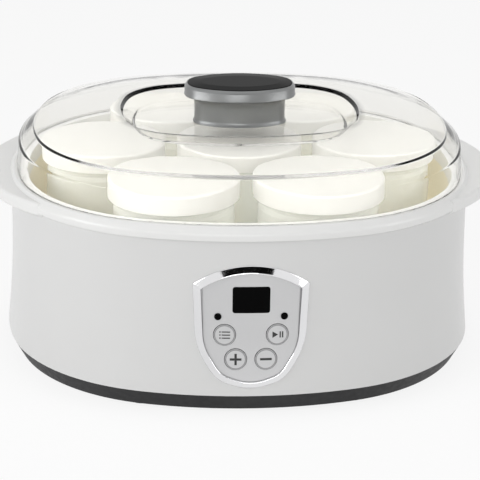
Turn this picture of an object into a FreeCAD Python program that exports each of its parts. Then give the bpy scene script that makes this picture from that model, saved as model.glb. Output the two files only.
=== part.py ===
import FreeCAD, Part
import math
import os

# Seven-jar electric yogurt maker. Millimetres, +Z up, the control panel faces -Y.
# Every level of the casing is an offset of one plan oval made of eight tangent arcs.
# A profile is drawn as (offset from the oval, height) and swept round it arc by arc.

Vec = FreeCAD.Vector
UP = Vec(0, 0, 1)
BACK = Vec(0, 1, 0)

# Plan oval, measured at the lid's shoulder
oval_half_width = 126.5
oval_half_depth = 115.0
oval_front_radius = 205.0
oval_side_radius = 165.0
oval_corner_radius = 94.0

# Heights above the table
base_bottom_z = 2.6
base_floor_z = 5.0
base_top_z = 12.5
wall_waist_z = 46.0
wall_top_z = 98.5
seat_z = 105.6
shoulder_z = 121.4
ridge_z = 130.0
recess_edge_z = 136.4
recess_floor_z = 129.0
chamber_floor_z = 35.0

# Offsets from the oval
base_bottom_offset = 3.5
wall_bottom_offset = 8.8
wall_waist_offset = 5.4
wall_top_offset = 4.6
bead_offset = 6.8
seat_offset = 1.9
liner_offset = -4.5
lid_skirt_offset = 1.3
lid_shoulder_offset = 0.2
ridge_offset = -8.8
recess_edge_offset = -58.0
recess_floor_offset = -65.0

# Wall thicknesses
housing_wall = 2.2
liner_wall = 2.0
lid_wall = 2.0

# Side handles
handle_tip = 147.0
handle_radius = 99.0
handle_top_z = 104.6
handle_bottom_z = 97.0
handle_skin = 2.8

# Jars stand in one round pocket in the middle and six round it
jar_pitch = 78.6
jar_radius = 33.0
jar_wall = 2.6
jar_neck_radius = 32.3
jar_bottom_z = 33.0
jar_top_z = 115.4
jar_lid_radius = 36.0
jar_lid_bottom_z = 106.9
jar_lid_top_z = 117.4
pocket_radius = 34.0

# Knob on the lid
knob_half_width = 32.0
knob_half_depth = 22.0
knob_top_z = 151.6
knob_rim_width = 1.9
knob_insert_thickness = 1.8
knob_bore_radius = 1.7

# Control panel: shield outline, seen from the front
front_plane_y = -140.0
front_depth = 40.0
panel_half_width = 29.8
panel_top_z = 85.2
panel_arch_radius = 49.2
panel_side_z = 39.5
panel_low_half_width = 18.2
panel_low_z = 21.3
panel_bottom_z = 15.9
bezel_width = 4.3
bezel_proud = 2.4
panel_proud = 1.2
display_size = (19.8, 14.7)
display_centre_z = 66.5
display_corner = 1.4
led_spacing = 35.0
led_z = 57.2
led_radius = 1.9
button_radius = 5.7
button_gap = 0.35
button_flange = 0.9
button_upper_z = 47.1
button_lower_z = 33.6
button_spread_upper = 27.8
button_spread_lower = 16.0
panel_rebate = 2.0

# Boards and heater
control_board_y = -114.4
control_board_thickness = 1.2
control_board_half_width = 23.0
control_board_low_z = 25.5
control_board_high_z = 78.5
control_post_places = [(-17.5, 74.5), (17.5, 74.5), (-20.4, 39.2), (20.4, 39.2)]
switch_height = 2.0
power_board_size = (74.0, 42.0, 1.6)
power_board_z = 12.0
power_board_y = 76.0
power_post_places = [(-33, 59), (33, 59), (-33, 93), (33, 93)]
heater_radius = 50.0
heater_thickness = 1.4
element_inner_radius = 20.0
element_outer_radius = 46.0
element_thickness = 1.2
sensor_radius = 4.0

# Joints between the mouldings
liner_draft = 0.5
liner_post_places = [(-82, -48), (82, -48), (-82, 48), (82, 48)]
foot_places = [(-57, -97), (57, -97), (-57, 97), (57, 97)]
foot_stud_radius = 3.0
bush_radius = 6.0
bush_bore_radius = 3.4
bush_z = 24.0
bush_end_y = 125.68


def oval_arcs(half_width, half_depth, front_radius, side_radius, corner_radius):
    """Centre, radius, start and end angle of the eight tangent arcs, anticlockwise from +X."""
    side = Vec(half_width - side_radius, 0, 0)
    front = Vec(0, half_depth - front_radius, 0)
    reach_side = side_radius - corner_radius
    reach_front = front_radius - corner_radius
    between = front - side
    along = (reach_side**2 - reach_front**2 + between.Length**2) / (2 * between.Length)
    across = math.sqrt(reach_side**2 - along**2)
    unit = between / between.Length
    corner = side + unit * along + Vec(-unit.y, unit.x, 0) * across
    turn_side = math.atan2(corner.y - side.y, corner.x - side.x)
    turn_front = math.atan2(corner.y - front.y, corner.x - front.x)
    arcs = []
    for flip_x, flip_y, start in ((1, 1, 0), (-1, 1, 1), (-1, -1, 2), (1, -1, 3)):
        quarter = start * math.pi / 2
        centre = Vec(corner.x * flip_x, corner.y * flip_y, 0)
        if start % 2 == 0:
            low, high = turn_side, turn_front
            middle = Vec(0, front.y * flip_y, 0)
            middle_radius = front_radius
            half_span = math.pi / 2 - turn_front
        else:
            low, high = math.pi / 2 - turn_front, math.pi / 2 - turn_side
            middle = Vec(side.x * flip_x, 0, 0)
            middle_radius = side_radius
            half_span = turn_side
        arcs.append((centre, corner_radius, quarter + low, quarter + high))
        turn = quarter + math.pi / 2
        arcs.append((middle, middle_radius, turn - half_span, turn + half_span))
    return arcs


def rounded_edges(points, place, closed=True):
    """Edges through (u, v) or (u, v, radius) points, with an arc at each point that has a radius."""
    count = len(points)
    corners = []
    for i, point in enumerate(points):
        here = Vec(point[0], point[1], 0)
        radius = point[2] if len(point) > 2 else 0
        at_end = not closed and i in (0, count - 1)
        if radius == 0 or at_end:
            corners.append((here, here, None))
            continue
        before = points[i - 1]
        after = points[(i + 1) % count]
        back = (Vec(before[0], before[1], 0) - here).normalize()
        ahead = (Vec(after[0], after[1], 0) - here).normalize()
        half = back.getAngle(ahead) / 2
        length = radius / math.tan(half)
        bisector = (back + ahead).normalize()
        middle = here + bisector * (radius / math.sin(half) - radius)
        corners.append((here + back * length, here + ahead * length, middle))
    edges = []
    for i, (start, end, middle) in enumerate(corners):
        if middle is not None:
            edges.append(Part.Arc(place(start), place(middle), place(end)).toShape())
        if not closed and i == count - 1:
            break
        next_start = corners[(i + 1) % count][0]
        if (next_start - end).Length > 1e-6:
            edges.append(Part.LineSegment(place(end), place(next_start)).toShape())
    return edges


def flat_face(points, place):
    return Part.Face(Part.Wire(rounded_edges(points, place)))


def sweep_round(arcs, profile):
    """Solid ring with an (offset, height) profile, swept round the oval."""
    wedges = []
    for centre, radius, start, end in arcs:
        outward = Vec(math.cos(start), math.sin(start), 0)
        face = flat_face(profile, lambda p: centre + outward * (radius + p.x) + UP * p.y)
        wedges.append(face.revolve(centre, UP, math.degrees(end - start)))
    return wedges[0].multiFuse(wedges[1:]).removeSplitter()


def oval_prism(arcs, offset, bottom, top):
    edges = []
    for centre, radius, start, end in arcs:
        spots = [start, (start + end) / 2, end]
        ends = [centre + Vec(math.cos(a), math.sin(a), 0) * (radius + offset) for a in spots]
        edges.append(Part.Arc(*ends).toShape())
    face = Part.Face(Part.Wire(edges))
    face.translate(UP * bottom)
    return face.extrude(UP * (top - bottom))


def revolved(points, centre=Vec(0, 0, 0)):
    """Solid turned about the vertical axis through centre, from (radius, height) points."""
    face = flat_face(points, lambda p: centre + Vec(p.x, 0, p.y))
    return face.revolve(centre, UP, 360)


def cylinder(radius, length, start, direction=UP):
    return Part.makeCylinder(radius, length, start, direction)


def box(size, corner):
    return Part.makeBox(size[0], size[1], size[2], Vec(*corner))


def front_prism(points):
    """Outline given as (x, z), run through the front wall along Y."""
    face = flat_face(points, lambda p: Vec(p.x, front_plane_y, p.y))
    return face.extrude(BACK * front_depth)


def save(name, shape):
    shape.exportStep("parts/%s.step" % name)
    solids = len(shape.Solids)
    print("%-22s %d solid(s) %9.1f mm3 valid %s" % (name, solids, shape.Volume, shape.isValid()))


body_arcs = oval_arcs(
    oval_half_width, oval_half_depth, oval_front_radius, oval_side_radius, oval_corner_radius
)
knob_arcs = oval_arcs(knob_half_width, knob_half_depth, 46.0, 22.0, 15.0)


def wall_line(proud, low, high):
    """The casing's outer side as profile points, moved outward by proud."""
    return [
        (wall_bottom_offset + proud, low),
        (wall_waist_offset + proud, wall_waist_z, 500.0),
        (wall_top_offset + proud, high),
    ]


def wall_block(proud):
    """The casing filled solid to its outer side, for cutting the panel to its curve."""
    inner = liner_offset - 20
    outline = [(inner, base_top_z)] + wall_line(proud, base_top_z, wall_top_z) + [(inner, wall_top_z)]
    return sweep_round(body_arcs, outline)


def shield_prism(inset):
    """Panel outline drawn in by inset and run through the front wall: arched top, rounded foot."""
    half = panel_half_width - inset
    arch_radius = panel_arch_radius - inset
    corner_z = panel_top_z - panel_arch_radius + math.sqrt(arch_radius**2 - half**2)
    place = lambda p: Vec(p.x, front_plane_y, p.y)
    side = (half - 0.5, panel_side_z + 0.23 * inset, 40.0 - 3.0 * inset)
    low = (panel_low_half_width - 0.56 * inset, panel_low_z + 0.9 * inset, 18.0 - 1.2 * inset)
    foot = (0, panel_bottom_z + 0.86 * inset, 30.0 - 1.5 * inset)
    mirrored = [(-x, z, radius) for x, z, radius in (low, side)]
    edges = rounded_edges([(half, corner_z), side, low, foot] + mirrored + [(-half, corner_z)], place, False)
    ends = [Vec(-half, corner_z, 0), Vec(0, panel_top_z - inset, 0), Vec(half, corner_z, 0)]
    edges.append(Part.Arc(*[place(p) for p in ends]).toShape())
    return Part.Face(Part.Wire(edges)).extrude(BACK * front_depth)


def button_places():
    upper = button_spread_upper / 2
    lower = button_spread_lower / 2
    return {
        "button_function": (-upper, button_upper_z),
        "button_start": (upper, button_upper_z),
        "button_plus": (-lower, button_lower_z),
        "button_minus": (lower, button_lower_z),
    }


def jar_centres():
    places = [Vec(0, 0, 0)]
    for i in range(6):
        turn = math.radians(60 * i)
        places.append(Vec(math.cos(turn), math.sin(turn), 0) * jar_pitch)
    return places


def make_housing():
    """Outer wall, waisted near the foot, with the panel's opening and the cord's hole."""
    outer = wall_line(0, base_top_z, wall_top_z)
    inner = wall_line(-housing_wall, base_top_z, wall_top_z)
    wall = sweep_round(body_arcs, outer + inner[::-1])
    wall = wall.cut(shield_prism(panel_rebate))
    return wall.cut(cylinder(bush_radius + 0.1, 40, Vec(0, 100, bush_z), BACK))


def make_base():
    """Dark tray: undercut ring, floor with vents, spigot inside the wall and board posts."""
    spigot = housing_wall + 0.3
    ring = sweep_round(body_arcs, [
        (base_bottom_offset, base_bottom_z, 0.8),
        (wall_bottom_offset, base_top_z),
        (wall_bottom_offset - spigot, base_top_z),
        (wall_bottom_offset - spigot - 0.45, base_top_z + 4.5),
        (wall_bottom_offset - spigot - 2.1, base_top_z + 4.5),
        (wall_bottom_offset - spigot - 1.7, base_top_z),
        (base_bottom_offset - 2.5, base_floor_z),
        (base_bottom_offset - 6, base_floor_z),
        (base_bottom_offset - 6, base_bottom_z),
    ])
    tray = ring.fuse(oval_prism(body_arcs, base_bottom_offset - 5, base_bottom_z, base_floor_z))
    for x, y in power_post_places:
        post = cylinder(3.2, power_board_z - base_floor_z + 0.5, Vec(x, y, base_floor_z - 0.5))
        tray = tray.fuse(post)
        tray = tray.cut(cylinder(1.3, 6.5, Vec(x, y, power_board_z - 6.5)))
    for x, y in liner_post_places:
        tray = tray.cut(cylinder(1.9, 10, Vec(x, y, 0)))
    for x, y in foot_places:
        tray = tray.cut(cylinder(foot_stud_radius + 0.1, 10, Vec(x, y, 0)))
    for i in range(7):
        slot = box((3.2, 34, 10), (-1.6 + (i - 3) * 9, -17, 0))
        upright = [e for e in slot.Edges if abs(e.tangentAt(e.FirstParameter).z) > 0.9]
        tray = tray.cut(slot.makeFillet(1.5, upright))
    return tray.removeSplitter()


def make_foot(x, y):
    """Rubber button foot with a stud pressed up through the tray."""
    foot = revolved([
        (0, 0), (8.2, 0, 0.8), (9.0, base_bottom_z),
        (foot_stud_radius, base_bottom_z), (foot_stud_radius, base_floor_z + 1.2, 0.6),
        (0, base_floor_z + 1.2),
    ], Vec(x, y, 0))
    return foot


def make_handle(side):
    """Crescent ear on the rim: rounded skin with a lip turned down round its edge."""
    centre = Vec(side * (handle_tip - handle_radius), 0, handle_bottom_z)
    height = handle_top_z - handle_bottom_z
    disc = cylinder(handle_radius, height, centre)
    rounded = [e for e in disc.Edges if e.Curve.TypeId == "Part::GeomCircle"]
    disc = disc.makeFillet(1.8, rounded)
    pocket = cylinder(handle_radius - handle_skin, height - handle_skin, centre)
    pocket = pocket.cut(oval_prism(body_arcs, bead_offset + 1.5, 0, 200))
    ear = disc.cut(pocket)
    ear = ear.cut(oval_prism(body_arcs, bead_offset - 2.0, 0, wall_top_z))
    ear = ear.cut(oval_prism(body_arcs, bead_offset - 2.5, 0, 200))
    keep = box((70, 150, 60), (85 if side > 0 else -155, -75, 70))
    return ear.common(keep)


def make_liner():
    """Inner pot: chamber wall, rim bead with two ears, pocketed floor and screw posts."""
    outer = liner_offset + liner_wall
    rim = sweep_round(body_arcs, [
        (liner_offset - liner_draft, chamber_floor_z - 2),
        (liner_offset, seat_z, 0.5),
        (seat_offset, seat_z),
        (seat_offset, seat_z + 0.7, 0.3),
        (seat_offset + 1.6, seat_z + 0.7, 1.0),
        (bead_offset, seat_z - 3.0, 3.0),
        (bead_offset - 0.5, wall_top_z, 0.8),
        (wall_top_offset - housing_wall - 0.9, wall_top_z),
        (wall_top_offset - housing_wall - 0.9, seat_z - 2.8),
        (outer, seat_z - 2.8),
        (outer - liner_draft, chamber_floor_z - 4),
        (outer - liner_draft - 8, chamber_floor_z - 4),
        (outer - liner_draft - 8, chamber_floor_z - 2),
    ])
    floor = oval_prism(body_arcs, outer - liner_draft - 1.0, chamber_floor_z - 4, chamber_floor_z)
    pot = rim.fuse(floor)
    for side in (-1, 1):
        pot = pot.fuse(make_handle(side))
    for centre in jar_centres():
        pot = pot.cut(cylinder(pocket_radius, 5, centre + UP * jar_bottom_z))
    for x, y in liner_post_places:
        post = cylinder(4.5, chamber_floor_z - 3 - base_floor_z, Vec(x, y, base_floor_z))
        pot = pot.fuse(post)
        pot = pot.cut(cylinder(1.6, 12, Vec(x, y, base_floor_z)))
    return pot.removeSplitter()


def make_lid():
    """Clear cover: skirt, shoulder, stepped ridge, shallow dome and a dished middle."""
    shell = sweep_round(body_arcs, [
        (lid_skirt_offset, seat_z),
        (lid_shoulder_offset, shoulder_z, 1.6),
        (ridge_offset + 0.7, ridge_z - 1.4, 0.8),
        (ridge_offset, ridge_z, 0.7),
        (-33.0, 134.9, 150.0),
        (recess_edge_offset, recess_edge_z, 0.9),
        (recess_floor_offset, recess_floor_z, 1.6),
        (recess_floor_offset - 4, recess_floor_z),
        (recess_floor_offset - 4, recess_floor_z - lid_wall),
        (recess_floor_offset - 1.2, recess_floor_z - lid_wall, 2.6),
        (recess_edge_offset - 1.4, recess_edge_z - lid_wall, 0.5),
        (-33.0, 134.9 - lid_wall, 150.0),
        (ridge_offset + 0.2, ridge_z - lid_wall - 0.4, 0.5),
        (lid_shoulder_offset - lid_wall, shoulder_z - 0.8, 1.0),
        (lid_skirt_offset - lid_wall, seat_z),
    ])
    floor = oval_prism(body_arcs, recess_floor_offset - 3, recess_floor_z - lid_wall, recess_floor_z)
    cover = shell.fuse(floor)
    return cover.cut(cylinder(2.2, 10, Vec(0, 0, recess_floor_z - 5))).removeSplitter()


def make_knob():
    """Oval pull: foot on the dish, waisted stem, overhanging cap with a rebate on top."""
    bed_z = knob_top_z - knob_insert_thickness
    ring = sweep_round(knob_arcs, [
        (-4.4, recess_floor_z),
        (-5.4, recess_floor_z + 3.0, 2.0),
        (-5.6, recess_floor_z + 11.0, 12.0),
        (-1.2, knob_top_z - 5.2, 0.8),
        (0, knob_top_z - 4.2, 0.8),
        (0, knob_top_z - 0.9, 0.6),
        (-0.7, knob_top_z, 0.4),
        (-knob_rim_width, knob_top_z),
        (-knob_rim_width, bed_z),
        (-10, bed_z),
        (-10, recess_floor_z),
    ])
    core = oval_prism(knob_arcs, -9.0, recess_floor_z, bed_z)
    solid = ring.fuse(core)
    return solid.cut(cylinder(knob_bore_radius, 13, Vec(0, 0, recess_floor_z))).removeSplitter()


def make_knob_insert():
    """Glossy pad let into the top of the knob, crowned a little."""
    bed_z = knob_top_z - knob_insert_thickness
    edge = -knob_rim_width - 0.1
    ring = sweep_round(knob_arcs, [
        (edge, bed_z), (edge, knob_top_z + 0.2, 0.5), (-10, knob_top_z + 0.6), (-10, bed_z),
    ])
    return ring.fuse(oval_prism(knob_arcs, -9.5, bed_z, knob_top_z + 0.6)).removeSplitter()


def make_screw(place, head_radius, head_height, shank_radius, shank_length, upward=True):
    """Pan-head screw with the underside of its head at place."""
    direction = UP if upward else UP * -1
    head = cylinder(head_radius, head_height, place - direction * head_height, direction)
    rim = [e for e in head.Edges if abs(e.CenterOfMass.z - (place - direction * head_height).z) < 0.01]
    head = head.makeFillet(head_height * 0.4, rim)
    return head.fuse(cylinder(shank_radius, shank_length, place, direction)).removeSplitter()


def curved_slice(outline, outer, inner):
    """The part of a front-facing prism that lies between two offsets of the casing's side."""
    return outline.common(outer).cut(inner)


def make_panel(blocks):
    """Bezel, plate, display, lamps and buttons, all cut to the casing's curve."""
    pieces = {}
    frame = shield_prism(0).cut(shield_prism(bezel_width))
    pieces["panel_bezel"] = curved_slice(frame, blocks["bezel"], blocks["wall"])
    plug = curved_slice(shield_prism(panel_rebate + 0.1), blocks["wall"], blocks["inner"])
    raised = curved_slice(shield_prism(bezel_width + 0.1), blocks["plate"], blocks["inner"])
    plate = plug.fuse(raised).removeSplitter()
    for x, z in control_post_places:
        post = cylinder(2.2, 4.5, Vec(x, control_board_y - 4.5, z), BACK)
        plate = plate.fuse(post)
        plate = plate.cut(cylinder(0.9, 3.0, Vec(x, control_board_y - 3.0, z), BACK))
    width, height = display_size
    low = display_centre_z - height / 2
    opening = [
        (-width / 2, low, display_corner), (width / 2, low, display_corner),
        (width / 2, low + height, display_corner), (-width / 2, low + height, display_corner),
    ]
    pane = front_prism(opening)
    plate = plate.cut(pane)
    pieces["display_window"] = curved_slice(pane, blocks["plate"], blocks["inner"])
    for name, side in (("lamp_left", -1), ("lamp_right", 1)):
        hole = cylinder(led_radius, front_depth, Vec(side * led_spacing / 2, front_plane_y, led_z), BACK)
        plate = plate.cut(hole)
        pieces[name] = curved_slice(hole, blocks["lamp"], blocks["deep"])
    for name, (x, z) in button_places().items():
        plate = plate.cut(cylinder(button_radius + button_gap, front_depth, Vec(x, front_plane_y, z), BACK))
        shaft = cylinder(button_radius, front_depth, Vec(x, front_plane_y, z), BACK)
        flange = cylinder(button_radius + button_gap + button_flange, front_depth, Vec(x, front_plane_y, z), BACK)
        button = curved_slice(shaft, blocks["lamp"], blocks["deep"])
        button = button.fuse(curved_slice(flange, blocks["behind"], blocks["deep"]))
        stem_end = control_board_y - switch_height - 0.7
        button = button.fuse(cylinder(1.8, 4.0, Vec(x, stem_end - 4.0, z), BACK))
        pieces[name] = button.removeSplitter()
    pieces["panel_plate"] = plate
    return pieces


def make_cord_bush(wall):
    """Flanged bush seated on the rear wall, with the bore that the supply lead enters by."""
    inner_y = oval_half_depth + 0.5
    length = bush_end_y - inner_y
    barrel = cylinder(bush_radius, length, Vec(0, inner_y, bush_z), BACK)
    flange = cylinder(bush_radius + 2.4, length, Vec(0, inner_y, bush_z), BACK).cut(wall)
    collar = cylinder(bush_radius + 1.6, 1.6, Vec(0, inner_y, bush_z), BACK)
    bush = barrel.fuse(flange).fuse(collar)
    return bush.cut(cylinder(bush_bore_radius, 20, Vec(0, inner_y - 5, bush_z), BACK)).removeSplitter()


def make_heater():
    """Metal spreader under the chamber floor, its foil element, sensor, clip and fuse."""
    top = chamber_floor_z - 4
    plate_z = top - heater_thickness
    element_z = plate_z - element_thickness
    spreader = cylinder(heater_radius, heater_thickness, Vec(0, 0, plate_z))
    element = cylinder(element_outer_radius, element_thickness, Vec(0, 0, element_z))
    element = element.cut(cylinder(element_inner_radius, 5, Vec(0, 0, element_z - 1)))
    for side in (-1, 1):
        tab = box((6, 9, 0.8), (side * 9 - 3, element_outer_radius - 3, element_z))
        element = element.fuse(tab)
    sensor = cylinder(sensor_radius, 8, Vec(0, 0, plate_z - 8))
    clip = cylinder(12, 1.0, Vec(0, 0, plate_z - 1.0))
    clip = clip.fuse(cylinder(sensor_radius + 1.2, 4, Vec(0, 0, plate_z - 5)))
    clip = clip.cut(cylinder(sensor_radius + 0.05, 20, Vec(0, 0, plate_z - 10)))
    fuse_body = cylinder(2.0, 12, Vec(-6, -16, plate_z - 2.0), Vec(1, 0, 0))
    return {
        "heater_plate": spreader,
        "heating_element": element.removeSplitter(),
        "temperature_sensor": sensor,
        "sensor_clip": clip.removeSplitter(),
        "thermal_fuse": fuse_body,
    }


def make_power_board():
    """Supply board on the tray's posts, with its tall components."""
    width, depth, thick = power_board_size
    board = box(power_board_size, (-width / 2, power_board_y - depth / 2, power_board_z))
    for x, y in power_post_places:
        board = board.cut(cylinder(1.7, 5, Vec(x, y, power_board_z - 1)))
    top = power_board_z + thick
    core = box((24, 18, 12), (-26, 67, top + 1))
    bobbin = box((16, 24, 9), (-22, 64, top))
    outlet = box((15, 9, 9), (4, 84, top))
    for x in (7, 12, 16):
        outlet = outlet.cut(cylinder(1.4, 6, Vec(x, 88.5, top + 4)))
    capacitor = revolved([(0, top), (4.8, top, 0.6), (4.8, top + 13, 0.8), (0, top + 13)], Vec(24, 72, 0))
    return {
        "power_board": board,
        "transformer": core.fuse(bobbin).removeSplitter(),
        "relay": box((12, 15, 12), (4, 63, top)),
        "capacitor": capacitor,
        "terminal_block": outlet,
        "buzzer": cylinder(5.5, 6, Vec(26, 85, top)).cut(cylinder(1.2, 3, Vec(26, 85, top + 4))),
    }


def make_control_board():
    """Upright board behind the panel: it carries the display and one switch per button."""
    width = 2 * control_board_half_width
    height = control_board_high_z - control_board_low_z
    corner = (-control_board_half_width, control_board_y, control_board_low_z)
    board = box((width, control_board_thickness, height), corner)
    for x, z in control_post_places:
        board = board.cut(cylinder(1.1, 6, Vec(x, control_board_y - 2, z), BACK))
    switches = []
    for x, z in button_places().values():
        face_y = control_board_y - switch_height
        can = box((5.2, switch_height - 0.6, 5.2), (x - 2.6, face_y + 0.6, z - 2.6))
        switches.append(can.fuse(cylinder(1.5, 0.8, Vec(x, face_y, z), BACK)).removeSplitter())
    size = (18.0, 3.0, 12.6)
    module = box(size, (-9.0, control_board_y - 3.0, display_centre_z - 6.3))
    return {
        "control_board": board,
        "button_switches": Part.makeCompound(switches),
        "display_module": module,
    }


def make_board_screws():
    """Small screws that hold the two boards to their posts."""
    screws = []
    for x, y in power_post_places:
        place = Vec(x, y, power_board_z + power_board_size[2])
        screws.append(make_screw(place, 2.6, 1.6, 1.2, 6.0, upward=False))
    for x, z in control_post_places:
        rear = control_board_y + control_board_thickness
        head = cylinder(1.8, 0.8, Vec(x, rear, z), BACK)
        screws.append(head.fuse(cylinder(0.8, 3.6, Vec(x, rear - 3.6, z), BACK)).removeSplitter())
    return Part.makeCompound(screws)


def make_jar(centre):
    """Glass jar: punted foot, straight side and a narrower neck that the cap closes on."""
    inner = jar_radius - jar_wall
    neck_inner = jar_neck_radius - jar_wall
    return revolved([
        (0, jar_bottom_z + 1.2),
        (24.0, jar_bottom_z + 1.2, 3.0),
        (26.5, jar_bottom_z, 0.8),
        (jar_radius, jar_bottom_z, 4.0),
        (jar_radius, 101.0, 2.0),
        (jar_neck_radius, 103.5, 2.0),
        (jar_neck_radius, jar_top_z, 0.6),
        (neck_inner, jar_top_z, 0.6),
        (neck_inner, 103.0, 2.0),
        (inner, 100.5, 2.0),
        (inner, jar_bottom_z + 5.5, 6.0),
        (0, jar_bottom_z + 4.5),
    ], centre)


def make_jar_lid(centre):
    """Turned-on cap with a rounded top edge and a thin skirt over the jar's neck."""
    skirt_inner = jar_neck_radius + 1.6
    return revolved([
        (0, jar_top_z),
        (skirt_inner, jar_top_z, 0.6),
        (skirt_inner, jar_lid_bottom_z),
        (jar_lid_radius - 0.2, jar_lid_bottom_z, 0.3),
        (jar_lid_radius, jar_lid_top_z, 1.3),
        (0, jar_lid_top_z),
    ], centre)


def main():
    os.makedirs("parts", exist_ok=True)
    blocks = {
        "bezel": wall_block(bezel_proud),
        "lamp": wall_block(panel_proud + 0.4),
        "plate": wall_block(panel_proud),
        "wall": wall_block(0),
        "inner": wall_block(-housing_wall),
        "behind": wall_block(-housing_wall - 0.15),
        "deep": wall_block(-housing_wall - 0.95),
    }
    pieces = {
        "housing_shell": make_housing(),
        "base_plate": make_base(),
        "chamber_liner": make_liner(),
        "cord_inlet_bush": make_cord_bush(blocks["wall"]),
        "lid": make_lid(),
        "knob_body": make_knob(),
        "knob_insert": make_knob_insert(),
    }
    for (x, y), name in zip(foot_places, ("front_left", "front_right", "rear_left", "rear_right")):
        pieces["foot_" + name] = make_foot(x, y)
    pieces.update(make_panel(blocks))
    pieces.update(make_heater())
    pieces.update(make_power_board())
    pieces.update(make_control_board())
    pieces["board_screws"] = make_board_screws()
    base_screws = [make_screw(Vec(x, y, base_bottom_z), 3.4, 1.5, 1.5, 13.0) for x, y in liner_post_places]
    pieces["base_screws"] = Part.makeCompound(base_screws)
    under_lid = recess_floor_z - lid_wall
    washer = cylinder(6, 0.8, Vec(0, 0, under_lid - 0.8)).cut(cylinder(1.7, 3, Vec(0, 0, under_lid - 2)))
    pieces["knob_washer"] = washer
    pieces["knob_screw"] = make_screw(Vec(0, 0, under_lid - 0.8), 3.8, 2.2, 1.5, 14.0)
    for i, centre in enumerate(jar_centres(), 1):
        pieces["jar_%d" % i] = make_jar(centre)
        pieces["jar_lid_%d" % i] = make_jar_lid(centre)
    for name, shape in pieces.items():
        save(name, shape)
    print(len(pieces), "nodes")


main()
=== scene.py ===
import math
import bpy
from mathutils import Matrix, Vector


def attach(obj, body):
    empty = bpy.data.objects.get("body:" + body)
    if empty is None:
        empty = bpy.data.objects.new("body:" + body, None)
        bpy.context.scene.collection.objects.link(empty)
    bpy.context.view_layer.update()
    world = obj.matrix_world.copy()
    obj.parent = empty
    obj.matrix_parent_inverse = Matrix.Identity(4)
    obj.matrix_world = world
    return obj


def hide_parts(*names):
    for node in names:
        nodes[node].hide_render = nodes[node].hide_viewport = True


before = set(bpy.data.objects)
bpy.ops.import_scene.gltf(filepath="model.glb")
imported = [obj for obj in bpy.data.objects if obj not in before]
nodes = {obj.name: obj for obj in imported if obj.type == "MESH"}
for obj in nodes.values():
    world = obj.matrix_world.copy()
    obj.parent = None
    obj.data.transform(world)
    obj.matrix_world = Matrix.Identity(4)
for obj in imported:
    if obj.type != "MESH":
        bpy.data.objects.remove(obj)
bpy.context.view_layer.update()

# %% [markdown]
# The object is an electric yogurt maker: a white oval casing, a clear lid and seven capped jars.
# The solids already have their real shapes, so most of the work here is finish and light.

print(len(nodes), "solids loaded")

# %% [markdown]
# The camera stands about a metre in front, a little to the left and above the lid.
# Its distance, lens, tilt and small roll come from fitting the casing's outlines to the photograph.
# The lens shift lets the object sit in the frame as it does there, with no change of perspective.

# %% Camera
frame_pixels = 480
camera_distance = 1.000
camera_azimuth = math.radians(-3.59)
camera_elevation = math.radians(19.09)
camera_roll = math.radians(0.79)
lens_pixels = 1703.0
aim_pixel = (238.2, 207.0)
aim_point = Vector((0.0, 0.0, 0.0759))

camera_data = bpy.data.cameras.new("photo_camera")
camera = bpy.data.objects.new("photo_camera", camera_data)
bpy.context.scene.collection.objects.link(camera)
flat = math.cos(camera_elevation)
away_x = math.sin(camera_azimuth) * flat
away_y = -math.cos(camera_azimuth) * flat
away = Vector((away_x, away_y, math.sin(camera_elevation)))
look = (-away).to_track_quat("-Z", "Y").to_matrix().to_4x4()
place = Matrix.Translation(aim_point + away * camera_distance)
camera.matrix_world = place @ look @ Matrix.Rotation(camera_roll, 4, "Z")
camera_data.sensor_width = 36.0
camera_data.lens = lens_pixels / frame_pixels * camera_data.sensor_width
camera_data.shift_x = (frame_pixels / 2 - aim_pixel[0]) / frame_pixels
camera_data.shift_y = (aim_pixel[1] - frame_pixels / 2) / frame_pixels
camera_data.clip_start = 0.01
bpy.context.scene.camera = camera
bpy.context.scene.view_settings.view_transform = "Standard"
print("lens %.1f mm, shift %.4f %.4f" % (camera_data.lens, camera_data.shift_x, camera_data.shift_y))

# %% [markdown]
# A product like this is shot on a white sweep under large soft boxes.
# One broad box overhead gives a gentle top light, and a stronger one on each side shapes the casing.
# The left one is the strongest of all.
# A box behind the camera shines in under the clear lid, so that the jars and the chamber's wall show.

# %% Soft boxes
box_height_share = 0.7


def soft_box(name, spot, aim, width, watts):
    data = bpy.data.lights.new(name, "AREA")
    data.shape = "RECTANGLE"
    data.size = width
    data.size_y = width * box_height_share
    data.energy = watts
    lamp = bpy.data.objects.new(name, data)
    bpy.context.scene.collection.objects.link(lamp)
    lamp.location = spot
    lamp.rotation_euler = (Vector(aim) - Vector(spot)).to_track_quat("-Z", "Y").to_euler()
    return lamp


soft_box("top_box", (0.0, -0.15, 1.3), (0, 0, 0.08), 1.1, 1.5)
soft_box("front_box", (-0.12, -1.5, 0.62), (0, 0, 0.08), 0.7, 4.3)
soft_box("left_box", (-1.3, -0.6, 0.7), (0, 0, 0.06), 0.9, 8.6)
soft_box("right_box", (1.3, -0.6, 0.7), (0, 0, 0.06), 0.8, 4.4)
print(len(bpy.data.lights), "soft boxes")

# %% [markdown]
# Photographers hang a black flag over bright metal, so that its upper bevels mirror something dark.
# The flag here is seen by reflections alone and takes no light from the object.

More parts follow.
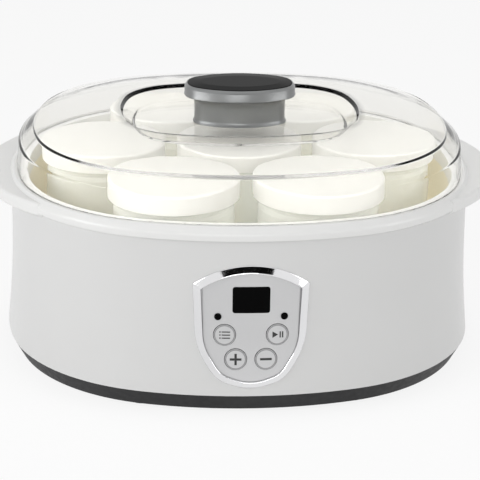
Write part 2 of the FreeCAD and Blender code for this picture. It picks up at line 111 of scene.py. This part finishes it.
# %% Black flag
flag_mesh = bpy.data.meshes.new("black_flag")
flag_half = 0.75
flag_near, flag_far, flag_z = -2.1, -0.95, 1.15
near_edge = [(-flag_half, flag_near, flag_z), (flag_half, flag_near, flag_z)]
far_edge = [(flag_half, flag_far, flag_z), (-flag_half, flag_far, flag_z)]
flag_mesh.from_pydata(near_edge + far_edge, [], [(0, 1, 2, 3)])
flag = bpy.data.objects.new("black_flag", flag_mesh)
bpy.context.scene.collection.objects.link(flag)
flag_cloth = bpy.data.materials.new("flag_cloth")
flag_cloth.use_nodes = True
flag_shader = flag_cloth.node_tree.nodes["Principled BSDF"]
flag_shader.inputs["Base Color"].default_value = (0.004, 0.004, 0.004, 1)
flag_shader.inputs["Specular IOR Level"].default_value = 0.0
flag.data.materials.append(flag_cloth)
flag.visible_camera = False
flag.visible_diffuse = False
flag.visible_shadow = False
flag.visible_transmission = False
print("flag hung at z =", flag_z)

# %% [markdown]
# The background has to look white, but a world that bright would wash the object out.
# So the world is white where it is seen, directly or in a reflection, and dimmer where it lights a surface.

# %% World
world = bpy.data.worlds.new("studio")
bpy.context.scene.world = world
world.use_nodes = True
world_nodes = world.node_tree.nodes
world_links = world.node_tree.links


def shown_rays(n, links):
    """One for rays that the camera, a mirror or a glass sends out, nought for light on a surface."""
    path = n.new("ShaderNodeLightPath")
    total = path.outputs["Is Camera Ray"]
    for kind in ("Is Glossy Ray", "Is Transmission Ray"):
        both = n.new("ShaderNodeMath")
        both.operation = "MAXIMUM"
        links.new(total, both.inputs[0])
        links.new(path.outputs[kind], both.inputs[1])
        total = both.outputs[0]
    return total


sky = world_nodes["Background"]
sky.inputs["Color"].default_value = (1, 1, 1, 1)
sky_level = world_nodes.new("ShaderNodeMapRange")
sky_as_light = 0.40
sky_as_seen = 1.0
sky_level.inputs["To Min"].default_value = sky_as_light
sky_level.inputs["To Max"].default_value = sky_as_seen
world_links.new(shown_rays(world_nodes, world_links), sky_level.inputs["Value"])
world_links.new(sky_level.outputs["Result"], sky.inputs["Strength"])
print("world seen at", sky_as_seen, "and lighting at", sky_as_light)


# %% [markdown]
# The floor is the same white sweep. To the camera and in reflections most of it glows,
# and the rest is a plain matt white, which keeps a soft shadow under the base.

# %% Floor
def new_material(name):
    material = bpy.data.materials.new(name)
    material.use_nodes = True
    return material, material.node_tree.nodes, material.node_tree.links


floor_glow_share = 0.86


def white_sweep():
    material, n, links = new_material("white_sweep")
    shader = n["Principled BSDF"]
    shader.inputs["Base Color"].default_value = (0.93, 0.93, 0.93, 1)
    shader.inputs["Roughness"].default_value = 0.9
    glow = n.new("ShaderNodeEmission")
    glow.inputs["Strength"].default_value = 1.0
    share = n.new("ShaderNodeMath")
    share.operation = "MULTIPLY"
    share.inputs[1].default_value = floor_glow_share
    links.new(shown_rays(n, links), share.inputs[0])
    mix = n.new("ShaderNodeMixShader")
    links.new(share.outputs[0], mix.inputs[0])
    links.new(shader.outputs[0], mix.inputs[1])
    links.new(glow.outputs[0], mix.inputs[2])
    links.new(mix.outputs[0], n["Material Output"].inputs["Surface"])
    return material


floor_mesh = bpy.data.meshes.new("floor")
reach = 6.0
floor_corners = [(-reach, -reach, 0), (reach, -reach, 0), (reach, reach, 0), (-reach, reach, 0)]
floor_mesh.from_pydata(floor_corners, [], [(0, 1, 2, 3)])
floor = bpy.data.objects.new("floor", floor_mesh)
bpy.context.scene.collection.objects.link(floor)
floor.data.materials.append(white_sweep())
print("floor laid at z = 0")

# %% [markdown]
# Nearly every piece is a plastic moulding, and no moulding is one flat colour.
# A slow noise shifts the colour a little, a finer one breaks up the gloss,
# and the finest is the mould's grain.
# One helper lays those three over a shader, and each finish below says how strong they are.

# %% Grain helper
noise_low, noise_high = 0.3, 0.7
tone_scale = 14.0
gloss_scale = 320.0
grain_strength = 0.25
coat_roughness = 0.06


def object_noise(n, links, scale, detail=3.0):
    spot = n.new("ShaderNodeTexCoord")
    noise = n.new("ShaderNodeTexNoise")
    noise.inputs["Scale"].default_value = scale
    noise.inputs["Detail"].default_value = detail
    links.new(spot.outputs["Object"], noise.inputs["Vector"])
    return noise.outputs["Fac"]


def spread(n, links, source, low, high):
    ramp = n.new("ShaderNodeMapRange")
    ramp.inputs["From Min"].default_value = noise_low
    ramp.inputs["From Max"].default_value = noise_high
    ramp.inputs["To Min"].default_value = low
    ramp.inputs["To Max"].default_value = high
    links.new(source, ramp.inputs["Value"])
    return ramp.outputs["Result"]


def two_tone(n, links, source, dark, light):
    ramp = n.new("ShaderNodeValToRGB")
    ramp.color_ramp.elements[0].position = noise_low
    ramp.color_ramp.elements[1].position = noise_high
    ramp.color_ramp.elements[0].color = (*dark, 1)
    ramp.color_ramp.elements[1].color = (*light, 1)
    links.new(source, ramp.inputs["Fac"])
    return ramp.outputs["Color"]


def moulded(name, dark, light, rough, grain_scale, grain_height, metallic=0.0, coat=0.0, shine=0.5):
    material, n, links = new_material(name)
    shader = n["Principled BSDF"]
    shader.inputs["Metallic"].default_value = metallic
    shader.inputs["Specular IOR Level"].default_value = shine
    shader.inputs["Coat Weight"].default_value = coat
    shader.inputs["Coat Roughness"].default_value = coat_roughness
    tone = object_noise(n, links, tone_scale)
    links.new(two_tone(n, links, tone, dark, light), shader.inputs["Base Color"])
    gloss = object_noise(n, links, gloss_scale)
    links.new(spread(n, links, gloss, *rough), shader.inputs["Roughness"])
    bump = n.new("ShaderNodeBump")
    bump.inputs["Strength"].default_value = grain_strength
    bump.inputs["Distance"].default_value = grain_height
    links.new(object_noise(n, links, grain_scale), bump.inputs["Height"])
    links.new(bump.outputs["Normal"], shader.inputs["Normal"])
    return material


def dress(material, *names):
    for name in names:
        slots = nodes[name].data.materials
        slots.clear()
        slots.append(material)
    print(material.name, "on", len(names))


print("grain helpers ready, tone scale", tone_scale, "and gloss scale", gloss_scale)

# %% [markdown]
# The solids come as triangles, and on small fillets long thin triangles shade in patches.
# Three modifiers put that right and leave the mesh itself alone: weld the split corners,
# part the mesh again at its sharp edges, and weigh each normal by the area of the faces round it.

# %% Even shading on the solids
sharp_angle = math.radians(32)
weld_distance = 0.000004
area_weight = 50
for node in nodes.values():
    weld = node.modifiers.new("weld", "WELD")
    weld.merge_threshold = weld_distance
    part = node.modifiers.new("part_sharp_edges", "EDGE_SPLIT")
    part.split_angle = sharp_angle
    even = node.modifiers.new("even_normals", "WEIGHTED_NORMAL")
    even.weight = area_weight
print("even shading on", len(nodes), "solids")

# %% [markdown]
# The casing is glossy white plastic, and the base tray under it is a dark grey one with a fine texture.
# The feet and the lead's bush are soft black rubber, duller and a little mottled.

# %% Casing, tray and feet
white = (0.665, 0.665, 0.66), (0.68, 0.68, 0.675)
dress(moulded("casing_white", *white, (0.28, 0.34), 900.0, 0.00001, coat=0.2), "housing_shell")
dark_grey = (0.022, 0.022, 0.023), (0.030, 0.030, 0.031)
dress(moulded("tray_grey", *dark_grey, (0.45, 0.6), 1800.0, 0.00004, shine=0.2), "base_plate")
feet = ["foot_front_left", "foot_front_right", "foot_rear_left", "foot_rear_right"]
soft_black = (0.018, 0.018, 0.018), (0.032, 0.032, 0.032)
rubber = moulded("foot_rubber", *soft_black, (0.65, 0.8), 1200.0, 0.00008)
dress(rubber, *feet, "cord_inlet_bush")


# %% [markdown]
# The inner pot is one moulding: its rim and ears show outside in bright white, its chamber in warm cream.
# The colours could be two materials, but the solid is one piece, so a height test in the shader splits them.
# The same test serves again for the lid, so it is a helper of its own.

# %% Inner pot
cream_end_z, rim_start_z = 0.0955, 0.0965


def height_split(n, links, low, high):
    """A mix that goes from its A input to its B input between two heights in metres."""
    spot = n.new("ShaderNodeTexCoord")
    axes = n.new("ShaderNodeSeparateXYZ")
    links.new(spot.outputs["Object"], axes.inputs[0])
    height = n.new("ShaderNodeMapRange")
    height.inputs["From Min"].default_value = low
    height.inputs["From Max"].default_value = high
    links.new(axes.outputs["Z"], height.inputs["Value"])
    choose = n.new("ShaderNodeMix")
    choose.data_type = "RGBA"
    links.new(height.outputs["Result"], choose.inputs["Factor"])
    return choose


def pot_plastic():
    rim_white = (0.79, 0.79, 0.78), (0.80, 0.80, 0.79)
    material = moulded("pot_plastic", *rim_white, (0.30, 0.32), 900.0, 0.00001, coat=0.1)
    n = material.node_tree.nodes
    links = material.node_tree.links
    shader = n["Principled BSDF"]
    rim_colour = shader.inputs["Base Color"].links[0].from_socket
    creams = (0.86, 0.79, 0.60), (0.89, 0.82, 0.64)
    cream = two_tone(n, links, object_noise(n, links, tone_scale), *creams)
    choose = height_split(n, links, cream_end_z, rim_start_z)
    links.new(cream, choose.inputs["A"])
    links.new(rim_colour, choose.inputs["B"])
    links.new(choose.outputs["Result"], shader.inputs["Base Color"])
    return material


dress(pot_plastic(), "chamber_liner")


# %% [markdown]
# The lid is clear plastic with a faint warm tint, and a real shell with an inner and an outer face.
# A refracting shader bends light at each wall, and that draws the dark lines at the ridge and the shoulder.
# It bends light less than real clear plastic does, because that keeps the lines thin.
# Painted shade on the raised edge of the dish draws one more dark line, in place of the one that bending
# light draws there.
# That edge is the lid's highest part, so the height test finds it.
# Rays from the lamps pass straight through, so the chamber inside is lit.

# %% Clear lid
lid_tone_scale = 9.0
clear_gloss_scale = 60.0


def clear_shell(name, tint, tint_deep, rough, ior):
    material, n, links = new_material(name)
    shader = n["Principled BSDF"]
    shader.inputs["Transmission Weight"].default_value = 1.0
    shader.inputs["IOR"].default_value = ior
    tone = object_noise(n, links, lid_tone_scale)
    links.new(two_tone(n, links, tone, tint_deep, tint), shader.inputs["Base Color"])
    gloss = object_noise(n, links, clear_gloss_scale)
    links.new(spread(n, links, gloss, *rough), shader.inputs["Roughness"])
    passing = n.new("ShaderNodeBsdfTransparent")
    passing.inputs["Color"].default_value = (*tint, 1)
    path = n.new("ShaderNodeLightPath")
    mix = n.new("ShaderNodeMixShader")
    links.new(path.outputs["Is Shadow Ray"], mix.inputs[0])
    links.new(shader.outputs[0], mix.inputs[1])
    links.new(passing.outputs[0], mix.inputs[2])
    links.new(mix.outputs[0], n["Material Output"].inputs["Surface"])
    return material


def paint_edge_shade(material, low, high, shade):
    """Paints shade onto the clear plastic above the higher of two heights, and blends between them."""
    n = material.node_tree.nodes
    links = material.node_tree.links
    colour = n["Principled BSDF"].inputs["Base Color"]
    clear = colour.links[0].from_socket
    choose = height_split(n, links, low, high)
    links.new(clear, choose.inputs["A"])
    choose.inputs["B"].default_value = (shade, shade, shade, 1)
    links.new(choose.outputs["Result"], colour)


lid_tints = (0.94, 0.935, 0.915), (0.93, 0.925, 0.905)
lid_bending = 1.17
dish_edge_z = (0.13615, 0.13635)
dish_edge_painted_shade = 0.45
lid_clear = clear_shell("lid_clear", *lid_tints, (0.0, 0.02), lid_bending)
# painted shade: a grey band on the dish's raised edge stands in for a dark line of bent light
paint_edge_shade(lid_clear, *dish_edge_z, dish_edge_painted_shade)
dress(lid_clear, "lid")

# %% [markdown]
# The jars are slightly green pressed glass, and the seven stand one behind another.
# Bending light through all their walls would only make them black, so they get a thin, milky glass instead:
# mostly see-through face on, and whiter where a wall turns edge on.
# The caps are plain white plastic.
# Jars, caps and lid cast no shadow here, which keeps the chamber as light as in the photograph.

# %% Glass jars and their caps
white_face_on, white_edge_on = 0.3, 0.9
glass_edge_blend = 0.2
glass_tone_scale = 20.0


def thin_glass(name, tint, rough):
    material, n, links = new_material(name)
    shader = n["Principled BSDF"]
    shader.inputs["Base Color"].default_value = (*tint, 1)
    shader.inputs["Specular IOR Level"].default_value = 0.5
    gloss = object_noise(n, links, clear_gloss_scale)
    links.new(spread(n, links, gloss, *rough), shader.inputs["Roughness"])
    passing = n.new("ShaderNodeBsdfTransparent")
    clearest = (0.985, 0.99, 0.985)
    tone = object_noise(n, links, glass_tone_scale)
    links.new(two_tone(n, links, tone, tint, clearest), passing.inputs["Color"])
    edge = n.new("ShaderNodeLayerWeight")
    edge.inputs["Blend"].default_value = glass_edge_blend
    cover = n.new("ShaderNodeMapRange")
    cover.inputs["To Min"].default_value = white_face_on
    cover.inputs["To Max"].default_value = white_edge_on
    links.new(edge.outputs["Facing"], cover.inputs["Value"])
    mix = n.new("ShaderNodeMixShader")
    links.new(cover.outputs["Result"], mix.inputs[0])
    links.new(passing.outputs[0], mix.inputs[1])
    links.new(shader.outputs[0], mix.inputs[2])
    links.new(mix.outputs[0], n["Material Output"].inputs["Surface"])
    return material


jar_numbers = range(1, 8)
jars = ["jar_%d" % i for i in jar_numbers]
caps = ["jar_lid_%d" % i for i in jar_numbers]
dress(thin_glass("jar_glass", (0.955, 0.96, 0.93), (0.03, 0.06)), *jars)
for name in jars + caps + ["lid"]:
    nodes[name].visible_shadow = False
warm_white = (0.77, 0.765, 0.735), (0.785, 0.78, 0.75)
dress(moulded("cap_white", *warm_white, (0.55, 0.6), 1100.0, 0.00001, shine=0.3), *caps)

# %% [markdown]
# The knob is painted a satin silver-grey, and a polished black pad is let into its top.
# Half-metallic grey takes up the light and dark of the studio, and that is what tells it from plain plastic.

# %% Knob
greys = (0.2, 0.205, 0.205), (0.215, 0.22, 0.22)
knob_grey = moulded("knob_grey", *greys, (0.33, 0.36), 1000.0, 0.00001, metallic=0.6)
dress(knob_grey, "knob_body")
blacks = (0.002, 0.002, 0.002), (0.004, 0.004, 0.004)
gloss_black = moulded("gloss_black", *blacks, (0.08, 0.14), 500.0, 0.00001, shine=0.012)
dress(gloss_black, "knob_insert", "display_window", "lamp_left", "lamp_right")

# %% [markdown]
# The panel is a silver-painted plate in a plated bezel, and the buttons wear much the same silver.
# Metallic paint is a grey metal with rough flakes, and plating is the same metal made smooth.

# %% Control panel
chrome = (0.72, 0.72, 0.73), (0.80, 0.80, 0.81)
plating = moulded("bezel_plating", *chrome, (0.05, 0.10), 400.0, 0.00001, metallic=1.0)
dress(plating, "panel_bezel")
plate_paint = (0.54, 0.54, 0.545), (0.60, 0.60, 0.605)
silver = moulded("panel_silver", *plate_paint, (0.38, 0.5), 2600.0, 0.00003, metallic=0.55)
dress(silver, "panel_plate")
buttons = ["button_function", "button_start", "button_plus", "button_minus"]
button_paint = (0.55, 0.55, 0.555), (0.60, 0.60, 0.605)
dress(moulded("button_silver", *button_paint, (0.36, 0.46), 2600.0, 0.00002, metallic=0.5), *buttons)

# %% [markdown]
# The bezel is a plated frame with a rounded section and a broad slanted bar along its arched top.
# Its solid is a flat band, so here it is rebuilt as rows of points: each row is the shield outline drawn in
# a little further, lifted off the casing's side by the height of the section there.
# The casing's side is known: a front arc whose radius grows towards the foot.

# %% Casing side and shield outline
millimetre = 0.001
half_depth = 115.0
front_radius = 205.0
front_centre = half_depth - front_radius
waist_z = 46.0
waist_reach = 21.3
waist_offset = 5.4
slope_below = -3.4 / 33.5
slope_above = -0.8 / 52.5


def side_offset(z):
    above = z - waist_z
    if above < -waist_reach:
        return waist_offset + slope_below * above
    if above > waist_reach:
        return waist_offset + slope_above * above
    bend = (slope_above - slope_below) / (4 * waist_reach) * (above**2 + waist_reach**2)
    rise = (slope_above + slope_below) / 2 * above
    return waist_offset + rise + bend


def on_side(x, z, proud):
    radius = front_radius + side_offset(z) + proud
    return Vector((x, -(front_centre + math.sqrt(radius**2 - x**2)), z)) * millimetre


def corner_arc(before, here, after, radius, steps):
    back = (before - here).normalized()
    ahead = (after - here).normalized()
    half = back.angle(ahead) / 2
    length = radius / math.tan(half)
    centre = here + (back + ahead).normalized() * (radius / math.sin(half))
    start = here + back * length - centre
    end = here + ahead * length - centre
    turn = start.angle_signed(end)
    return [centre + Matrix.Rotation(-turn * i / steps, 2) @ start for i in range(steps + 1)]


shield_half = 30.7
shield_top = 85.2
arch_radius = 49.2
arch_steps = 40
flank_lean = 1.4
flank_points = (0.2, 0.4)
corner_steps = 8
side_z, side_climb = 39.5, 0.23
low_x, low_draw_in = 18.2, 0.56
low_z, low_climb = 21.3, 0.9
foot_z, foot_climb = 15.9, 0.86
side_round, side_round_loss = 40.0, 3.0
low_round, low_round_loss = 18.0, 1.2
foot_round, foot_round_loss = 30.0, 1.5


def shield_outline(inset):
    """Points (x, z) in millimetres, clockwise from the upper left corner, as many for every inset.

    Each corner climbs or draws in, and its round gets smaller, by so much for every millimetre of inset.
    """
    half = shield_half - inset
    arch = arch_radius - inset
    arch_z = shield_top - arch_radius
    corner = Vector((half, arch_z + math.sqrt(arch**2 - half**2)))
    sweep = math.asin(half / arch)
    points = []
    for i in range(arch_steps + 1):
        turn = sweep * (2 * i / arch_steps - 1)
        points.append(Vector((arch * math.sin(turn), arch_z + arch * math.cos(turn))))
    side = Vector((half - flank_lean, side_z + side_climb * inset))
    low = Vector((low_x - low_draw_in * inset, low_z + low_climb * inset))
    foot = Vector((0, foot_z + foot_climb * inset))
    flank = [corner.lerp(side, t) for t in flank_points]
    flank += corner_arc(corner, side, low, side_round - side_round_loss * inset, corner_steps)
    flank += corner_arc(side, low, foot, low_round - low_round_loss * inset, corner_steps)
    mirror = Vector((-low.x, low.y))
    toe = corner_arc(low, foot, mirror, foot_round - foot_round_loss * inset, corner_steps)
    left = [Vector((-p.x, p.y)) for p in reversed(flank)]
    return points + flank + toe + left


def new_piece(name, points, faces, material, body, smooth=True):
    mesh = bpy.data.meshes.new(name)
    mesh.from_pydata(points, [], faces)
    mesh.polygons.foreach_set("use_smooth", [smooth] * len(mesh.polygons))
    piece = bpy.data.objects.new(name, mesh)
    bpy.context.scene.collection.objects.link(piece)
    piece.data.materials.append(material)
    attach(piece, body)
    return piece


print("outline has", len(shield_outline(0)), "points, side at mid height", on_side(0, 50, 0))

# %% Bezel rebuilt with a rounded section
outer_edge = [(0.0, 0.0), (0.0, 0.3), (0.12, 0.5), (0.35, 0.66), (0.45, 0.72)]
inner_edge = [(3.15, 2.16), (3.3, 2.25), (3.55, 2.36), (3.85, 2.36), (4.1, 2.15), (4.25, 1.6), (4.25, 0.0)]
bezel_rows = outer_edge + inner_edge


def bezel_points():
    rows = []
    for inset, lift in bezel_rows:
        outline = shield_outline(inset)
        rows.append([on_side(p.x, p.y, lift) for p in outline])
    return rows


rows = bezel_points()
count = len(rows[0])
quads = []
for r in range(len(rows)):
    follow = (r + 1) % len(rows)
    for i in range(count):
        j = (i + 1) % count
        quads.append((r * count + j, r * count + i, follow * count + i, follow * count + j))
bezel_mesh_points = [p for row in rows for p in row]
bezel = new_piece("bezel_frame", bezel_mesh_points, quads, plating, "base")
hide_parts("panel_bezel")
print("bezel", count, "points round,", len(rows), "rows")

# %% [markdown]
# The knob is the piece that a hand goes to, so its steps matter: a foot, a waisted stem, and a cap with a
# straight side between two fine edges. Its solid rounds these together.
# The plan is an oval of arcs that meet smoothly, so any offset of it only changes the arcs' radii.
# Rings of points at the heights of the section, joined by quads, give every edge its own crisp highlight.

# %% Knob plan
knob_half = (32.0, 22.0)
knob_arcs = {"front": 46.0, "side": 22.0, "corner": 15.0}


def knob_corner_centre():
    """Centre of the arc that touches both the front arc and the side arc, in the front right quarter."""
    front = Vector((0.0, knob_arcs["front"] - knob_half[1]))
    side = Vector((knob_half[0] - knob_arcs["side"], 0.0))
    to_front = knob_arcs["front"] - knob_arcs["corner"]
    to_side = knob_arcs["side"] - knob_arcs["corner"]
    line = side - front
    along = (to_front**2 - to_side**2 + line.length_squared) / (2 * line.length)
    across = math.sqrt(to_front**2 - along**2)
    return front, side, front + line.normalized() * along + Vector((-line.y, line.x)).normalized() * across


def knob_ring(offset, z, count=96):
    front, side, corner = knob_corner_centre()
    to_corner = corner - front
    from_side = corner - side
    front_end = math.atan2(to_corner.x, -to_corner.y)
    corner_end = math.atan2(from_side.x, -from_side.y)
    ring = []
    for i in range(count):
        turn = math.tau * i / count
        normal = Vector((math.sin(turn), -math.cos(turn)))
        quarter = math.atan2(abs(normal.x), abs(normal.y))
        if quarter < front_end:
            centre, radius = front, knob_arcs["front"]
        elif quarter < corner_end:
            centre, radius = corner, knob_arcs["corner"]
        else:
            centre, radius = side, knob_arcs["side"]
        x = centre.x + (radius + offset) * math.sin(quarter)
        y = centre.y - (radius + offset) * math.cos(quarter)
        ring.append(Vector((math.copysign(x, normal.x), math.copysign(y, normal.y), z)) * millimetre)
    return ring


print("knob corner centre", knob_corner_centre()[2])

# %% Knob rebuilt with its steps
knob_foot = [(-5.3, 129.0), (-5.1, 129.3), (-5.3, 129.75), (-5.8, 130.2), (-5.95, 132.0)]
knob_stem = [(-5.95, 139.5), (-5.7, 141.6), (-5.0, 143.2), (-3.8, 144.3), (-2.2, 144.75), (-0.6, 144.85)]
knob_cap = [(-0.15, 144.95), (0.0, 145.2), (-0.12, 145.5), (-0.3, 145.7), (-0.3, 149.7), (-0.45, 149.95)]
knob_lip = [(-1.35, 151.35), (-1.6, 151.55), (-1.9, 151.55), (-1.9, 149.8)]
knob_rings = [knob_ring(offset, z) for offset, z in knob_foot + knob_stem + knob_cap + knob_lip]


def joined_rings(rings):
    count = len(rings[0])
    faces = []
    for r in range(len(rings) - 1):
        for i in range(count):
            j = (i + 1) % count
            faces.append((r * count + i, r * count + j, (r + 1) * count + j, (r + 1) * count + i))
    faces.append(tuple(reversed(range(count))))
    faces.append(tuple(range((len(rings) - 1) * count, len(rings) * count)))
    return [p for ring in rings for p in ring], faces


knob_points, knob_faces = joined_rings(knob_rings)
knob = new_piece("knob_shell", knob_points, knob_faces, knob_grey, "cover")
knob_sharp_angle = math.radians(50)
knob_edges = knob.modifiers.new("crisp_edges", "EDGE_SPLIT")
knob_edges.split_angle = knob_sharp_angle
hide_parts("knob_body")
print("knob of", len(knob_rings), "rings")

# %% [markdown]
# The buttons carry plain signs in dark print: plus, minus, a list and a start triangle.
# Print has almost no thickness, so each sign is a thin skin laid on the button's curved face.

# %% Signs on the buttons
print_dark = moulded("sign_print", (0.012, 0.012, 0.012), (0.03, 0.03, 0.03), (0.4, 0.55), 1500.0, 0.00001)
button_face = 1.6
print_lift = 0.06
bar_steps = 6


def printed(name, outlines, middle, body):
    """Flat outlines in millimetres about the button's middle, laid on its face as one skin."""
    points = []
    faces = []
    for outline in outlines:
        first = len(points)
        points += [on_side(middle[0] + x, middle[1] + z, button_face + print_lift) for x, z in outline]
        faces.append(tuple(range(first, first + len(outline))))
    return new_piece(name, points, faces, print_dark, body, smooth=False)


def bar(x, z, width, height):
    lower = [(x - width / 2 + width * i / bar_steps, z - height / 2) for i in range(bar_steps + 1)]
    upper = [(px, z + height / 2) for px, pz in reversed(lower)]
    return lower + upper


function_spot = (-13.9, 47.1)
start_spot = (13.9, 47.1)
plus_spot = (-8.0, 33.6)
minus_spot = (8.0, 33.6)
stroke = 1.25
level_bar = bar(0, 0, 6.2, stroke)
upright_bars = [bar(0, 1.9, stroke, 2.5), bar(0, -1.9, stroke, 2.5)]
printed("sign_plus", [level_bar] + upright_bars, plus_spot, "button_plus_body")
printed("sign_minus", [level_bar], minus_spot, "button_minus_body")
list_heights = (1.7, 0.0, -1.7)
list_bars = [bar(0.7, z, 4.4, 0.6) for z in list_heights] + [bar(-2.4, z, 0.7, 0.7) for z in list_heights]
printed("sign_list", list_bars, function_spot, "button_function_body")
start_sign = [[(-2.6, -1.8), (0.4, 0.0), (-2.6, 1.8)], bar(1.5, 0, 0.7, 3.4), bar(2.8, 0, 0.7, 3.4)]
printed("sign_start", start_sign, start_spot, "button_start_body")
print("four signs printed")

# %% [markdown]
# A thin grey line is printed round each button, just inside its edge, in the same way as the signs.

# %% Rings round the buttons
ring_grey = moulded("ring_print", (0.24, 0.24, 0.245), (0.30, 0.30, 0.305), (0.4, 0.5), 1500.0, 0.00001)
ring_radii = (4.95, 5.5)
ring_steps = 48


def printed_ring(name, middle, body):
    points = []
    for radius in ring_radii:
        for i in range(ring_steps):
            turn = math.tau * i / ring_steps
            spot = (middle[0] + radius * math.cos(turn), middle[1] + radius * math.sin(turn))
            points.append(on_side(*spot, button_face + print_lift))
    faces = []
    for i in range(ring_steps):
        j = (i + 1) % ring_steps
        faces.append((ring_steps + i, ring_steps + j, j, i))
    return new_piece(name, points, faces, ring_grey, body)


printed_ring("ring_function", function_spot, "button_function_body")
printed_ring("ring_start", start_spot, "button_start_body")
printed_ring("ring_plus", plus_spot, "button_plus_body")
printed_ring("ring_minus", minus_spot, "button_minus_body")
print("four rings printed")

# %% [markdown]
# Inside are the boards, the heater and the fasteners, seen only when the casing is cut open.
# Each still gets its own finish: lacquered board, moulded parts, rolled sheet, zinc-plated screws.

# %% Inner pieces
board = moulded("board_lacquer", (0.015, 0.10, 0.04), (0.03, 0.16, 0.07), (0.3, 0.4), 700.0, 0.00003)
dress(board, "power_board", "control_board")
chip = moulded("component_black", (0.02, 0.02, 0.02), (0.04, 0.04, 0.04), (0.4, 0.5), 1500.0, 0.00004)
dress(chip, "relay", "capacitor", "buzzer", "button_switches", "display_module")
tape = moulded("winding_tape", (0.55, 0.38, 0.07), (0.66, 0.47, 0.10), (0.4, 0.5), 800.0, 0.00004)
dress(tape, "transformer")
terminal = moulded("terminal_green", (0.03, 0.22, 0.09), (0.05, 0.28, 0.12), (0.4, 0.5), 900.0, 0.00004)
dress(terminal, "terminal_block")
steel = (0.62, 0.62, 0.63), (0.72, 0.72, 0.73)
sheet = moulded("rolled_sheet", *steel, (0.3, 0.45), 600.0, 0.00002, metallic=1.0)
dress(sheet, "heater_plate", "thermal_fuse", "sensor_clip")
film = moulded("heater_film", (0.42, 0.22, 0.06), (0.52, 0.29, 0.09), (0.35, 0.5), 500.0, 0.00003)
dress(film, "heating_element")
zinc_tones = (0.50, 0.50, 0.50), (0.60, 0.60, 0.58)
zinc = moulded("zinc_plate", *zinc_tones, (0.25, 0.4), 800.0, 0.00002, metallic=1.0)
dress(zinc, "base_screws", "board_screws", "knob_screw", "knob_washer", "temperature_sensor")
